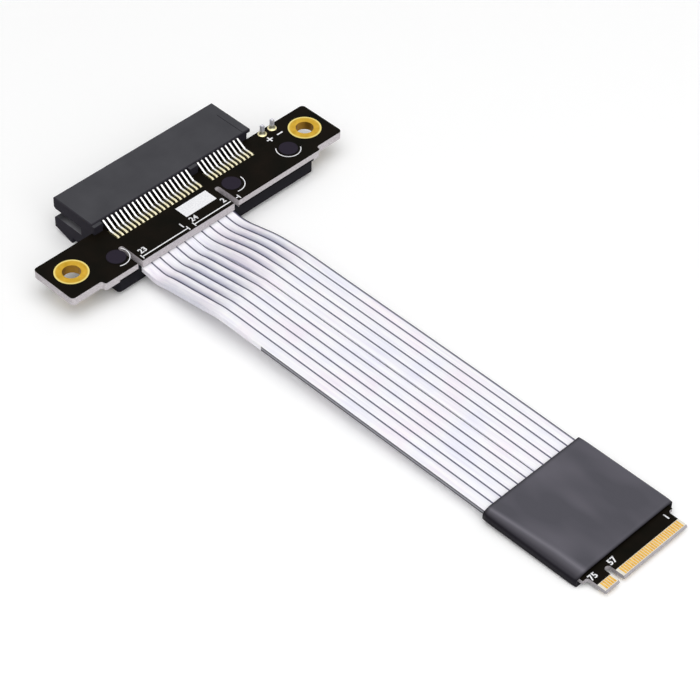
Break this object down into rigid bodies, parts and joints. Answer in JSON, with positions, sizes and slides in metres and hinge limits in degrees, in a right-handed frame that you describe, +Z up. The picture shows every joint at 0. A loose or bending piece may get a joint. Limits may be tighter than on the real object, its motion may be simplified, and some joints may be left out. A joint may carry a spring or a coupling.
{
  "type": "card slot extension cable",
  "caption": "Flat ribbon extension cable from a small keyed edge plug to a narrow board with a straddle card slot, for seating a card away from its socket.",
  "frame": {"origin": "midway between the two mounting holes, on the slot board's top face", "axes": "+X along the slot board, +Y from the plug towards the slot's mouth, +Z up, square to the boards"},
  "size_m": [0.0666, 0.1294, 0.0083],
  "materials": {
    "board": "black solder mask over glass fibre laminate, satin",
    "gold": "thin gold plating over nickel and copper",
    "housing": "dark grey moulded glass filled nylon, fine matte grain",
    "contact": "tin plated copper alloy, bright",
    "cover": "black moulded plastic, satin",
    "ribbon": "silver white polyester film over shielded pairs",
    "wire": "bare tinned copper strip",
    "sleeve": "dark grey polyolefin shrink sleeve, semi matte",
    "solder": "reflowed solder, smooth and bright"
  },
  "bodies": {
    "root": {"slot_board": "board", "mounting_ring_left": "gold", "mounting_ring_right": "gold", "slot_pads_upper": "gold", "slot_pads_lower": "gold", "slot_housing": "housing", "slot_contacts_upper": "contact", "slot_contacts_lower": "contact", "lower_cover": "cover", "power_header_body": "cover", "power_header_pins": "contact", "power_pads": "gold", "ribbon_six": "ribbon", "ribbon_five": "ribbon", "wire_ends_six_tab": "wire", "wire_ends_five_tab": "wire", "wire_ends_six_plug": "wire", "wire_ends_five_plug": "wire", "tab_pads": "gold", "plug_pads": "gold", "plug_board": "board", "plug_fingers_upper": "gold", "plug_fingers_lower": "gold", "shrink_sleeve": "sleeve", "slot_solder_upper": "solder", "slot_solder_lower": "solder", "power_solder": "solder"}
  },
  "joints": []
}
